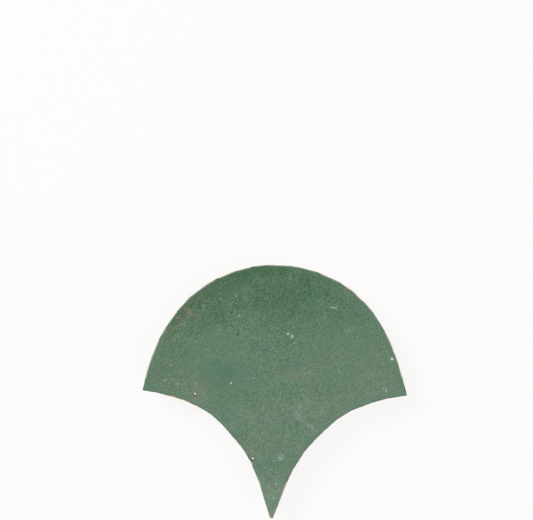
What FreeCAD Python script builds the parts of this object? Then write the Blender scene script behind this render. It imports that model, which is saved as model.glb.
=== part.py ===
"""Fish scale tile: one scale of glazed earthenware, cut to shape by hand with a chisel after firing.

The tile lies on its bare back with the glazed face up. Sizes are in millimetres and angles in degrees.
+Z points out of the glazed face, +Y runs from the pointed tail to the rounded head, and the origin is on
the back, under the centre of the head's arc.
"""

import FreeCAD, Part
import math
import os

# Outline of the glazed face
HEAD_RADIUS = 48.0  # the rounded head; the tail reaches just as far the other way
SHOULDER_FLARE = 2.0  # how far each corner stands out past the head's radius
CORNER_DROP = 0.5  # how far each corner lies below the head's centre
JOINT_WIDTH = 2.5  # room left round a neighbour's head, which nests in each hollow flank
TAIL_CUT = 14.0  # straight run of each flank beside the point
TIP_WIDTH = 1.2  # blunt end of the point

# Section
THICKNESS = 11.0  # bare back to glazed face
ARRIS_RADIUS = 0.4  # where the glaze rolls over the rim
RIM_HEIGHT = 2.0  # upright rim left above the chisel cuts
UNDERCUT_ANGLE = 15.0  # lean of the chisel cuts, inwards towards the back

# Chisel cuts
CHISEL_WIDTH = 7.0  # mean width of one cut
CUT_UNEVENNESS = 0.25  # share of a cut's width by which its ends wander
WANDER_STEP = 137.5  # turn from one cut to the next, so that no two neighbours wander alike

# Sizes that follow from these
FLANK_RADIUS = HEAD_RADIUS + JOINT_WIDTH
CUT_LEVEL = THICKNESS - RIM_HEIGHT
CUT_OVERRUN = RIM_HEIGHT  # how far the cuts run on past the back and the face
ARRIS = min(ARRIS_RADIUS, TIP_WIDTH / 3)  # at least a third of the tip's width stays flat


def point(x, y, z=0.0):
    """A point in the tile's frame."""
    return FreeCAD.Vector(x, y, z)


def mirrored(p):
    """The same point on the other side of the tile's centre line."""
    return point(-p.x, p.y, p.z)


def polar(centre, radius, angle):
    """The point on a level circle at an angle in radians."""
    return centre + point(radius * math.cos(angle), radius * math.sin(angle))


def bearing(centre, p):
    """The angle in radians at which a point is seen from a centre."""
    return math.atan2(p.y - centre.y, p.x - centre.x)


def crossing(centre_a, radius_a, centre_b, radius_b):
    """Where two circles cross, to the right of the way from a to b."""
    way = centre_b - centre_a
    along = (way.Length**2 + radius_a**2 - radius_b**2) / (2 * way.Length)
    aside = math.sqrt(radius_a**2 - along**2)
    right = point(way.y, -way.x)
    return centre_a + way * (along / way.Length) + right * (aside / way.Length)


# Turning points of the outline's right half; the flank's arc starts at the corner and
# runs into the straight cut beside the point without a kink
HEAD_CENTRE = point(0, 0)
HEAD_TOP = point(0, HEAD_RADIUS)
CORNER = point(HEAD_RADIUS + SHOULDER_FLARE, -CORNER_DROP)
SHOULDER_ANGLE = bearing(HEAD_CENTRE, CORNER) + math.acos(HEAD_RADIUS / CORNER.Length)
HEAD_END = polar(HEAD_CENTRE, HEAD_RADIUS, SHOULDER_ANGLE)
TIP = point(TIP_WIDTH / 2, -HEAD_RADIUS)
FLANK_CENTRE = crossing(TIP, math.hypot(FLANK_RADIUS, TAIL_CUT), CORNER, FLANK_RADIUS)
TAIL_START = crossing(FLANK_CENTRE, FLANK_RADIUS, TIP, TAIL_CUT)
FLANK_LOW = bearing(FLANK_CENTRE, TAIL_START)
FLANK_HIGH = bearing(FLANK_CENTRE, CORNER)
FLANK_MIDDLE = polar(FLANK_CENTRE, FLANK_RADIUS, (FLANK_LOW + FLANK_HIGH) / 2)


def scale_blank():
    """The upright block under the glazed face's outline, its upper arris rounded."""
    right = [
        Part.LineSegment(TIP, TAIL_START),
        Part.Arc(TAIL_START, FLANK_MIDDLE, CORNER),
        Part.LineSegment(CORNER, HEAD_END),
    ]
    left = [
        Part.LineSegment(mirrored(HEAD_END), mirrored(CORNER)),
        Part.Arc(mirrored(CORNER), mirrored(FLANK_MIDDLE), mirrored(TAIL_START)),
        Part.LineSegment(mirrored(TAIL_START), mirrored(TIP)),
    ]
    head = Part.Arc(HEAD_END, HEAD_TOP, mirrored(HEAD_END))
    blunt_tip = Part.LineSegment(mirrored(TIP), TIP)
    curves = right + [head] + left + [blunt_tip]
    outline = Part.Wire([curve.toShape() for curve in curves])
    block = Part.Face(outline).extrude(point(0, 0, THICKNESS))
    face_edges = [edge for edge in block.Edges if edge.BoundBox.ZMin > THICKNESS / 2]
    return block.makeFillet(ARRIS, face_edges)


def cut_ends(length, first):
    """Shares of a stretch's length at which its cuts end, the inner ends wandering to and fro."""
    count = max(2, round(length / CHISEL_WIDTH))
    wander = [CUT_UNEVENNESS * math.sin(math.radians(WANDER_STEP * (first + i))) for i in range(count)]
    return [0.0] + [(i + wander[i]) / count for i in range(1, count)] + [1.0]


def between(start, end, share):
    """The value at a share of the way from start to end."""
    return start + (end - start) * share


def cut_outline():
    """Corners, anticlockwise from the point, of the outline the cuts make where they start."""
    flank_length = FLANK_RADIUS * abs(FLANK_HIGH - FLANK_LOW)
    head_length = HEAD_RADIUS * (math.pi - 2 * SHOULDER_ANGLE)
    right_ends = cut_ends(flank_length, 0)
    head_ends = cut_ends(head_length, len(right_ends))
    left_ends = cut_ends(flank_length, len(right_ends) + len(head_ends))

    # Each hollow flank is cut along its chords, and the point is cut sharp
    sharp_tip = TIP - (TAIL_START - TIP) * (TIP.x / (TAIL_START.x - TIP.x))
    right = [polar(FLANK_CENTRE, FLANK_RADIUS, between(FLANK_LOW, FLANK_HIGH, t)) for t in right_ends]
    left = [polar(FLANK_CENTRE, FLANK_RADIUS, between(FLANK_LOW, FLANK_HIGH, t)) for t in left_ends]

    # The round head is cut along its tangents, the first and last of them the shoulders
    touches = [between(SHOULDER_ANGLE, math.pi - SHOULDER_ANGLE, t) for t in head_ends]
    head = [
        polar(HEAD_CENTRE, HEAD_RADIUS / math.cos((b - a) / 2), (a + b) / 2)
        for a, b in zip(touches, touches[1:])
    ]
    return [sharp_tip] + right + head + [mirrored(p) for p in reversed(left)]


def inset(corners, distance, level):
    """A closed outline with all its sides moved inwards by a distance, at a level."""
    sides = [(b - a).normalize() for a, b in zip(corners, corners[1:] + corners[:1])]
    inward = [point(-side.y, side.x) for side in sides]
    moved = []
    for corner, before, after in zip(corners, inward[-1:] + inward[:-1], inward):
        shift = (before + after) * (distance / (1 + before.dot(after)))
        moved.append(point(corner.x + shift.x, corner.y + shift.y, level))
    return moved


def flat_face(corners):
    """The flat face inside a ring of corners."""
    return Part.Face(Part.makePolygon(corners + corners[:1]))


def chiselled_block():
    """The block whose sides are the planes of the chisel cuts, all leaning inwards towards the back."""
    lean = math.tan(math.radians(UNDERCUT_ANGLE))
    corners = cut_outline()
    bottom = -CUT_OVERRUN
    top = THICKNESS + CUT_OVERRUN
    low = inset(corners, (CUT_LEVEL - bottom) * lean, bottom)
    high = inset(corners, (CUT_LEVEL - top) * lean, top)
    cuts = [
        flat_face([a, b, c, d])
        for a, b, c, d in zip(low, low[1:] + low[:1], high[1:] + high[:1], high)
    ]
    return Part.Solid(Part.Shell(cuts + [flat_face(low), flat_face(high)]))


def build_tile():
    """The tile: the rounded blank, its sides cut back by the chisel."""
    return scale_blank().common(chiselled_block()).Solids[0]


os.makedirs("parts", exist_ok=True)
tile = build_tile()
tile.exportStep("parts/tile.step")
print("tile", round(tile.Volume), "mm3, valid", tile.isValid(), "faces", len(tile.Faces))
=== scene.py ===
"""Fish scale tile: one hand-cut scale of glazed earthenware, dressed around its CAD solid.

The tile lies on its bare back with the glazed face up, in the frame of the CAD part: +Z points out of the
face and +Y runs from the pointed tail to the rounded head. Sizes are in millimetres unless a name says
otherwise, and MM turns them into the scene's metres.
"""

import logging
import math
import random
from dataclasses import dataclass, field
from enum import Enum

import bmesh
import bpy
import numpy as np
from mathutils import Matrix, Vector, noise
from mathutils.kdtree import KDTree


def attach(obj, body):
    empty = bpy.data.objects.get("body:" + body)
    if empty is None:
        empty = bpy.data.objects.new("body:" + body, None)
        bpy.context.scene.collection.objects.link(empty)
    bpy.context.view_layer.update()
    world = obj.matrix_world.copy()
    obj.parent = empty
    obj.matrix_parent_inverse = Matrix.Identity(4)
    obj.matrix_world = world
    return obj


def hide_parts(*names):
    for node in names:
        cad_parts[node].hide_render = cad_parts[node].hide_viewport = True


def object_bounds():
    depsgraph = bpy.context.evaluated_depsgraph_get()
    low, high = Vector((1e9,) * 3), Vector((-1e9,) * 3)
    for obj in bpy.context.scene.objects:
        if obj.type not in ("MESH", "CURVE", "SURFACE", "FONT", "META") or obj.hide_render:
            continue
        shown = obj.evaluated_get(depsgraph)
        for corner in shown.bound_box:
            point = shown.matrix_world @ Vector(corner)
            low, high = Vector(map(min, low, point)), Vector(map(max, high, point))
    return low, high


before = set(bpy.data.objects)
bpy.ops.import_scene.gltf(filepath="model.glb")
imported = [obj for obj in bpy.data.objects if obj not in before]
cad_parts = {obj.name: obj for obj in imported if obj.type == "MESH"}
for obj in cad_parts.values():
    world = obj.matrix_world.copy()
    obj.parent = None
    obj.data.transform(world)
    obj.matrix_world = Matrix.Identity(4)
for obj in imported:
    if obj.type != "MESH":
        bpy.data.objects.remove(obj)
CAD_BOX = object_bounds()

MM = 0.001
CAD_LOW = [round(metres / MM, 3) for metres in CAD_BOX[0]]
CAD_HIGH = [round(metres / MM, 3) for metres in CAD_BOX[1]]
CAD_NODE = "tile"
BODY = "root"
PIECE_NAME = "fish_scale_tile"
EDGE = "edge"
BARE = "bare"
HOLLOW = "hollow"
STATION = "station"
RING = "ring"

Colour = tuple[float, float, float]
Span = tuple[float, float]
Socket = bpy.types.NodeSocket

log = logging.getLogger("fish_scale_tile")


def srgb(red: int, green: int, blue: int) -> Colour:
    """The linear colour that shaders use, from a screen's red, green and blue of 0 to 255."""
    shares = (red / 255, green / 255, blue / 255)
    return tuple(s / 12.92 if s <= 0.04045 else ((s + 0.055) / 1.055) ** 2.4 for s in shares)


def smooth(low: float, high: float, value: float) -> float:
    """A smooth rise from 0 at low to 1 at high, or a fall where high is the smaller."""
    share = min(1.0, max(0.0, (value - low) / (high - low)))
    return share * share * (3 - 2 * share)


class Tint(Enum):
    """Ways in which a patch of the glaze departs from its main colour."""

    DEEP = "deep"
    PALE = "pale"
    TEAL = "teal"
    WARM = "warm"
    SCUFF = "scuff"
    CHALK = "chalk"


class BlemishKind(Enum):
    """Small faults that the kiln and later use left in the glaze."""

    PINHOLE = "pinhole"
    SPALL = "spall"
    SPECK = "speck"
    TEAL_SPECK = "teal speck"


class Axis(Enum):
    """The two ways across the face."""

    X = "X"
    Y = "Y"


class Strewn(Enum):
    """Where flecks are strewn: over the face, or all through the clay."""

    OVER = "2D"
    THROUGH = "3D"


@dataclass(frozen=True)
class Patch:
    """A soft patch on the glazed face, with its half length and half width, turned in degrees."""

    x: float
    y: float
    length: float
    width: float
    turn: float
    tint: Tint
    strength: float


@dataclass(frozen=True)
class Blemish:
    """A small fault in the glaze, with the depth of its dent."""

    x: float
    y: float
    radius: float
    depth: float
    kind: BlemishKind


@dataclass(frozen=True)
class Slope:
    """A change across the face: nothing at one place along an axis and complete at another."""

    axis: Axis
    start: float
    end: float
    by: float


@dataclass(frozen=True)
class Cloud:
    """Cloudy noise: the size of its clouds, how many finer layers it has and how strong those are."""

    size: float
    layers: float = 2.0
    fineness: float = 0.5


@dataclass(frozen=True)
class Veil:
    """What shows in clouds: their noise, the span of it over which it comes in, and its strength."""

    cloud: Cloud
    span: Span
    strength: float = 1.0


@dataclass(frozen=True)
class Flecks:
    """Scattered flecks: how far apart their places lie, their size, the share in use and their strength."""

    spacing: float
    radius: float
    share: float
    strength: float
    strewn: Strewn = Strewn.OVER


PATCHES = (
    # Where the glaze pooled; the first patch is painted shade along the head's rim, the shadow of
    # neighbouring tiles
    Patch(-22.0, 42.0, 22.0, 6.0, 28.0, Tint.DEEP, 0.40),
    Patch(5.0, 36.0, 18.0, 11.0, 0.0, Tint.DEEP, 0.20),
    Patch(26.5, 30.0, 11.0, 8.0, -40.0, Tint.DEEP, 0.12),
    Patch(-26.0, 28.0, 14.0, 7.0, 40.0, Tint.DEEP, 0.19),
    Patch(24.0, 4.5, 5.5, 4.5, 0.0, Tint.DEEP, 0.12),
    Patch(-37.5, 12.0, 8.0, 7.0, 60.0, Tint.DEEP, 0.25),
    Patch(-16.5, -1.0, 8.0, 5.0, 0.0, Tint.DEEP, 0.15),
    Patch(-20.3, 6.2, 9.0, 6.0, 10.0, Tint.DEEP, 0.27),
    Patch(-43.0, 4.5, 6.0, 5.0, 0.0, Tint.DEEP, 0.10),
    Patch(-1.5, -28.0, 6.0, 4.0, 0.0, Tint.DEEP, 0.22),
    # Painted shade along the head's rim and the left shoulder, the shadow of the gaps by neighbouring
    # tiles, drawn as deeper glaze
    Patch(-38.7, 25.0, 8.0, 3.4, 58.0, Tint.DEEP, 0.40),
    Patch(-30.5, 35.0, 9.0, 3.0, 45.0, Tint.DEEP, 0.42),
    Patch(-4.5, 46.0, 11.0, 2.6, 0.0, Tint.DEEP, 0.45),
    Patch(-34.5, 28.5, 7.0, 3.5, 55.0, Tint.DEEP, 0.22),
    Patch(-24.4, 39.0, 6.0, 3.0, 38.0, Tint.DEEP, 0.16),
    # Bluer clouds
    Patch(-21.3, 7.5, 7.0, 4.5, 25.0, Tint.TEAL, 0.25),
    Patch(-12.0, 5.5, 11.0, 5.0, -12.0, Tint.TEAL, 0.14),
    Patch(12.7, 17.3, 5.0, 4.0, 0.0, Tint.TEAL, 0.15),
    Patch(-3.0, -26.5, 5.0, 3.5, 0.0, Tint.TEAL, 0.12),
    # Scuffs on the left shoulder
    Patch(-36.0, 25.5, 5.0, 3.0, 50.0, Tint.SCUFF, 0.17),
    Patch(-32.4, 29.2, 2.5, 1.1, -35.0, Tint.SCUFF, 0.72),
    Patch(-31.0, 28.4, 1.5, 0.7, 10.0, Tint.SCUFF, 0.70),
    Patch(-37.2, 27.0, 0.8, 0.5, 0.0, Tint.SCUFF, 0.55),
    Patch(-35.9, 24.4, 1.0, 0.5, 10.0, Tint.SCUFF, 0.30),
    # Warmer clouds; two by the head's left rim are painted shade and a painted reflection
    Patch(8.2, 6.6, 4.0, 2.6, 25.0, Tint.WARM, 0.26),
    Patch(-8.5, -24.5, 3.0, 3.0, 0.0, Tint.WARM, 0.22),
    Patch(37.0, 6.5, 11.0, 6.0, 10.0, Tint.WARM, 0.18),
    Patch(17.0, -5.0, 7.0, 5.5, 20.0, Tint.WARM, 0.16),
    Patch(-36.0, 29.5, 9.0, 4.0, 55.0, Tint.WARM, 0.09),
    # Painted: the brown shade of the gap beside a neighbouring tile, and the warm reflection of a
    # neighbour's rim
    Patch(-25.5, 38.5, 6.0, 3.0, 38.0, Tint.WARM, 0.14),
    Patch(-31.5, 33.8, 7.0, 3.5, 45.0, Tint.WARM, 0.15),
    Patch(-42.5, 17.3, 5.0, 3.5, 65.0, Tint.WARM, 0.13),
    Patch(-11.0, -17.2, 5.0, 3.5, -55.0, Tint.WARM, 0.13),
    Patch(0.0, -19.6, 4.5, 4.0, 0.0, Tint.WARM, 0.09),
    Patch(21.9, 13.0, 6.0, 5.0, 0.0, Tint.WARM, 0.07),
    Patch(-38.5, 5.0, 9.0, 7.0, 0.0, Tint.WARM, 0.08),
    # The rubbed place round the left pinhole
    Patch(-28.0, -1.5, 5.0, 4.0, 0.0, Tint.PALE, 0.13),
    Patch(-28.0, -1.5, 4.5, 3.5, 0.0, Tint.WARM, 0.16),
    Patch(-30.0, 1.5, 5.0, 4.0, 20.0, Tint.SCUFF, 0.14),
    # Where the glaze ran thin
    Patch(9.0, -6.0, 9.0, 6.0, 20.0, Tint.PALE, 0.12),
    Patch(36.0, 4.0, 14.0, 8.0, 10.0, Tint.PALE, 0.14),
    Patch(18.8, 32.6, 4.0, 3.0, 0.0, Tint.PALE, 0.22),
    Patch(15.5, -14.5, 4.0, 2.6, 45.0, Tint.PALE, 0.16),
    Patch(8.5, 7.0, 7.0, 4.5, 20.0, Tint.PALE, 0.10),
    Patch(-7.6, -22.2, 2.6, 2.2, 0.0, Tint.PALE, 0.20),
    # Chalky marks
    Patch(17.2, -7.3, 4.5, 2.4, 10.0, Tint.CHALK, 0.19),
    Patch(8.6, -7.7, 3.2, 1.3, 0.0, Tint.CHALK, 0.21),
    Patch(12.0, -11.6, 5.6, 0.7, -40.0, Tint.CHALK, 0.30),
    Patch(8.5, -8.1, 1.4, 0.45, -20.0, Tint.CHALK, 0.27),
    Patch(10.8, -10.4, 2.6, 0.45, -55.0, Tint.CHALK, 0.08),
    Patch(13.3, -13.2, 1.7, 0.5, -38.0, Tint.CHALK, 0.23),
    Patch(15.5, -14.3, 1.6, 0.5, -13.0, Tint.CHALK, 0.15),
    Patch(2.1, -24.3, 2.4, 1.9, 30.0, Tint.CHALK, 0.38),
    Patch(2.7, -25.3, 0.9, 0.5, -20.0, Tint.CHALK, 0.62),
    Patch(2.2, -23.8, 0.8, 0.4, 30.0, Tint.CHALK, 0.45),
    Patch(-0.5, -30.4, 4.0, 1.6, -15.0, Tint.CHALK, 0.16),
    Patch(3.0, -33.4, 3.0, 1.6, 20.0, Tint.CHALK, 0.15),
    Patch(-41.0, 5.0, 3.0, 0.8, -35.0, Tint.CHALK, 0.11),
    Patch(-39.4, 9.1, 0.4, 0.4, 0.0, Tint.CHALK, 0.45),
    Patch(-35.4, 6.5, 0.6, 0.35, 30.0, Tint.CHALK, 0.40),
    Patch(-38.3, 4.0, 0.6, 0.35, -20.0, Tint.CHALK, 0.40),
    Patch(-29.7, 2.4, 0.4, 0.3, 0.0, Tint.CHALK, 0.42),
    Patch(-31.4, 0.4, 0.35, 0.3, 0.0, Tint.CHALK, 0.35),
    Patch(28.8, 24.6, 2.6, 1.6, 30.0, Tint.CHALK, 0.25),
    Patch(21.5, 32.1, 1.3, 0.3, -12.0, Tint.CHALK, 1.0),
    Patch(41.6, 1.3, 1.5, 1.0, 40.0, Tint.CHALK, 0.42),
)

BLEMISHES = (
    Blemish(-30.2, -1.6, 0.66, 0.18, BlemishKind.PINHOLE),
    Blemish(-7.8, -25.6, 0.70, 0.18, BlemishKind.PINHOLE),
    Blemish(44.0, 13.2, 0.50, 0.16, BlemishKind.SPALL),
    Blemish(4.5, 21.9, 0.52, 0.06, BlemishKind.TEAL_SPECK),
    Blemish(6.1, 20.9, 0.56, 0.06, BlemishKind.TEAL_SPECK),
    Blemish(-41.8, 3.2, 0.30, 0.05, BlemishKind.TEAL_SPECK),
    Blemish(-36.7, 2.1, 0.30, 0.05, BlemishKind.TEAL_SPECK),
    Blemish(-16.7, 2.9, 0.30, 0.10, BlemishKind.SPALL),
    Blemish(-39.5, 9.2, 0.28, 0.04, BlemishKind.SPECK),
    Blemish(-15.5, 35.8, 0.34, 0.04, BlemishKind.SPECK),
    Blemish(-14.0, 28.3, 0.32, 0.04, BlemishKind.SPECK),
    Blemish(-27.8, 31.9, 0.28, 0.04, BlemishKind.SPECK),
    Blemish(9.9, 0.8, 0.26, 0.04, BlemishKind.SPECK),
    Blemish(24.1, 7.9, 0.26, 0.04, BlemishKind.SPECK),
    Blemish(0.5, -40.2, 0.34, 0.06, BlemishKind.SPECK),
)

TONE_SLOPES = (
    Slope(Axis.Y, 4.0, 47.0, 0.40),
    Slope(Axis.X, -10.0, 40.0, -0.08),
    Slope(Axis.Y, 2.0, -14.0, -0.11),
    Slope(Axis.Y, -27.0, -42.0, -0.23),
)

GRAIN_SLOPES = (
    Slope(Axis.Y, 4.0, 36.0, 0.52),
    Slope(Axis.X, 2.0, 36.0, -0.30),
)

PALE_RIM_SLOPES = (
    Slope(Axis.Y, -4.0, 8.0, 0.3),
    Slope(Axis.Y, -28.0, -38.0, 0.3),
)


class Value:
    """A number that varies over a surface: a socket whose arithmetic adds Math nodes."""

    def __init__(self, recipe: "Recipe", socket: Socket) -> None:
        """Wraps a socket of a recipe's node tree."""
        self.recipe = recipe
        self.socket = socket

    def _math(self, operation: str, first: "Value | float", second: "Value | float") -> "Value":
        """Adds a Math node on two values."""
        made = self.recipe.node("ShaderNodeMath", {"operation": operation}, {0: first, 1: second})
        return Value(self.recipe, made.outputs[0])

    def __add__(self, other: "Value | float") -> "Value":
        """The sum."""
        return self._math("ADD", self, other)

    def __sub__(self, other: "Value | float") -> "Value":
        """The difference."""
        return self._math("SUBTRACT", self, other)

    def __rsub__(self, other: float) -> "Value":
        """The difference, from a number."""
        return self._math("SUBTRACT", other, self)

    def __mul__(self, other: "Value | float") -> "Value":
        """The product."""
        return self._math("MULTIPLY", self, other)

    __radd__ = __add__
    __rmul__ = __mul__

    def most(self, other: "Value | float") -> "Value":
        """The larger of the two."""
        return self._math("MAXIMUM", self, other)

    def rise(self, low: float, high: float) -> "Value":
        """A smooth rise from 0 at low to 1 at high, or a fall where high is the smaller.

        Args:
            low: The value that gives 0.
            high: The value that gives 1.

        Returns:
            A value from 0 to 1.
        """
        made = self.recipe.node(
            "ShaderNodeMapRange",
            {"interpolation_type": "SMOOTHSTEP"},
            {"Value": self, "From Min": low, "From Max": high, "To Min": 0.0, "To Max": 1.0},
        )
        return Value(self.recipe, made.outputs["Result"])


class Recipe:
    """Builds the nodes of one material or world."""

    def __init__(self, tree: bpy.types.NodeTree) -> None:
        """Starts from an empty node tree."""
        self.tree = tree
        tree.nodes.clear()

    def node(self, kind: str, settings: dict | None = None, sockets: dict | None = None) -> bpy.types.Node:
        """Adds a node, sets it and then fills or links its inputs.

        Args:
            kind: The node's type name.
            settings: Properties to set before any socket is touched.
            sockets: Values, sockets or plain numbers, by input name or index.

        Returns:
            The new node.
        """
        made = self.tree.nodes.new(kind)
        for name, setting in (settings or {}).items():
            setattr(made, name, setting)
        for name, value in (sockets or {}).items():
            self._fill(self._input(made, name), value)
        return made

    @staticmethod
    def _input(node: bpy.types.Node, name: str | int) -> Socket:
        """Finds an input that is in use.

        Args:
            node: The node.
            name: The input's name or index.

        Returns:
            The input's socket.
        """
        if isinstance(name, int):
            return node.inputs[name]
        return next(s for s in node.inputs if s.enabled and s.name == name)

    def _fill(self, socket: Socket, value: object) -> None:
        """Links a socket, or sets it.

        Args:
            socket: The input to fill.
            value: A value or another socket to link, or a plain number or colour to set.
        """
        if isinstance(value, Value):
            value = value.socket
        if isinstance(value, Socket):
            self.tree.links.new(value, socket)
        elif socket.type == "RGBA" and len(value) == 3:
            socket.default_value = (*value, 1.0)
        else:
            socket.default_value = value

    def vector(self, operation: str, first: object, second: object) -> Socket:
        """Adds a Vector Math node on two vectors, colours or numbers, and returns its vector."""
        made = self.node("ShaderNodeVectorMath", {"operation": operation}, {0: first, 1: second})
        return made.outputs["Vector"]

    def length(self, vector: Socket) -> Value:
        """Adds a Vector Math node that measures a vector."""
        made = self.node("ShaderNodeVectorMath", {"operation": "LENGTH"}, {0: vector})
        return Value(self, made.outputs["Value"])

    def blend(self, share: Value | float, first: object, second: object) -> Socket:
        """Mixes two colours.

        Args:
            share: How much of the second colour shows.
            first: A colour or a colour socket.
            second: A colour or a colour socket.

        Returns:
            The mixed colour's socket.
        """
        settings = {"data_type": "RGBA", "clamp_factor": True}
        made = self.node("ShaderNodeMix", settings, {"Factor": share, "A": first, "B": second})
        return next(s for s in made.outputs if s.enabled)

    def _cloudy(self, place: Socket, cloud: Cloud) -> bpy.types.Node:
        """Adds a Noise Texture node."""
        sockets = {"Scale": 1 / cloud.size, "Detail": cloud.layers, "Roughness": cloud.fineness}
        return self.node("ShaderNodeTexNoise", None, {"Vector": place, **sockets})

    def noise(self, place: Socket, cloud: Cloud) -> Value:
        """Cloudy noise at a place in millimetres, about 0 on the whole."""
        return Value(self, self._cloudy(place, cloud).outputs["Fac"]) - 0.5

    def wander(self, place: Socket, cloud: Cloud) -> Socket:
        """A vector of cloudy noise at a place in millimetres, about 0 on the whole."""
        return self.vector("SUBTRACT", self._cloudy(place, cloud).outputs["Color"], (0.5, 0.5, 0.5))

    def veil(self, place: Socket, veil: Veil) -> Value:
        """How much of a veil shows at a place in millimetres."""
        return self.noise(place, veil.cloud).rise(*veil.span) * veil.strength

    def attribute(self, name: str) -> Value:
        """Reads one of the mesh's own values."""
        made = self.node("ShaderNodeAttribute", {"attribute_name": name})
        return Value(self, made.outputs["Fac"])


@dataclass(frozen=True)
class GlazeFinish:
    """Satin sage green glaze, deeper where it pooled and paler where it ran thin, with painted shade and a
    painted reflection by the head's rim.
    """

    pale: Colour = srgb(118, 139, 120)
    body: Colour = srgb(91, 122, 97)
    deep: Colour = srgb(56, 97, 66)
    teal: Colour = srgb(62, 116, 98)
    warm: Colour = srgb(124, 126, 98)
    scuff: Colour = srgb(156, 136, 116)
    thin_rim: Colour = srgb(158, 170, 142)
    dark_rim_line: Colour = srgb(66, 94, 74)
    chalk: Colour = srgb(160, 184, 168)
    fleck: Colour = srgb(160, 178, 158)
    teal_fleck: Colour = srgb(160, 198, 180)
    iron_fleck: Colour = srgb(112, 92, 58)
    white_chip: Colour = srgb(226, 230, 220)
    pit: Colour = srgb(62, 44, 32)
    # Pale clay at a pinhole's lip, with a painted highlight on it
    lip_and_glint: Colour = srgb(240, 234, 220)
    index: float = 1.5

    # How deep it looks, and its drift between teal and warm
    tone: float = 0.46
    tone_clouds: tuple[tuple[Cloud, float], ...] = ((Cloud(18.0), 0.40), (Cloud(4.5), 0.33))
    body_span: Span = (-0.1, 0.5)
    deep_span: Span = (0.45, 1.25)
    hue_clouds: tuple[tuple[Cloud, float], ...] = ((Cloud(9.0), 0.20), (Cloud(0.55), 0.06))
    hue_span: Span = (0.02, 0.3)

    # Patches and flecks
    wander: Cloud = Cloud(6.0, 3.0)
    wander_reach: float = 7.0
    patch_span: Span = (1.3, 0.2)
    crisp_width: float = 0.6
    rubbed: Veil = Veil(Cloud(1.0, 3.0, 0.6), (-0.06, 0.08), 0.75)
    pale_flecks: Flecks = Flecks(4.5, 0.24, 0.4, 0.45)
    iron_flecks: Flecks = Flecks(7.0, 0.24, 0.4, 0.38)

    # Grain and brush marks
    grain: Cloud = Cloud(0.33, 2.0, 0.6)
    grain_height: float = 3.0
    grain_share: float = 0.98
    grain_lift: float = 0.25
    grain_middle: float = 0.985
    brush: Cloud = Cloud(1.0)
    brush_height: float = 0.72
    brush_length: float = 1.7
    brush_width: float = 0.4
    brush_turn: float = 40.0

    # The line at the rim
    rim_broken: Cloud = Cloud(3.0, 3.0, 0.6)
    rim_pale: float = -0.2
    rim_pale_span: Span = (-0.05, 0.05)
    rim_width_span: Span = (0.6, 0.2)
    rim_strength: float = 0.6

    # Pinholes and specks
    ragged: Cloud = Cloud(0.4, 1.0)
    hole_shift: float = 0.2
    hole_span: Span = (1.3, 0.9)
    hole_strength: float = 0.8
    lip_and_glint_span: Span = (0.66, 0.5)
    speck_ragged: float = 1.8
    speck_span: Span = (1.25, 0.7)
    speck_strength: float = 0.85

    # Sheen and skin
    roughness: float = 0.27
    sheen: Cloud = Cloud(3.0, 3.0)
    sheen_wander: float = 0.12
    sheen_grain: float = 0.05
    skin: Cloud = Cloud(1.3)
    skin_height: float = 0.1
    skin_grain: float = 0.025


@dataclass(frozen=True)
class ClayFinish:
    """Bare low-fired clay, sandy and pale, where the chisel cut and on the back."""

    body: Colour = srgb(216, 182, 146)
    pink: Colour = srgb(218, 170, 138)
    sand: Colour = srgb(232, 208, 178)
    dark: Colour = srgb(158, 118, 86)
    pink_clouds: Veil = Veil(Cloud(7.0, 4.0, 0.6), (-0.14, 0.16))
    sand_clouds: Veil = Veil(Cloud(0.8, 4.0, 0.7), (-0.2, 0.3), 0.5)
    dirt: Veil = Veil(Cloud(1.6, 4.0, 0.7), (0.04, 0.3), 0.4)
    # Dust and painted shade in the hollows of the flake scars
    dust_and_shade_clouds: Veil = Veil(Cloud(1.1, 4.0, 0.75), (-0.08, 0.16), 0.24)
    dust_and_shade: float = 0.06
    dust_and_shade_span: Span = (0.1, 0.9)
    grains: Flecks = Flecks(1.5, 0.16, 0.35, 0.6, Strewn.THROUGH)
    roughness: float = 0.92
    tooth: Cloud = Cloud(0.45, 4.0, 0.7)


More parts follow.
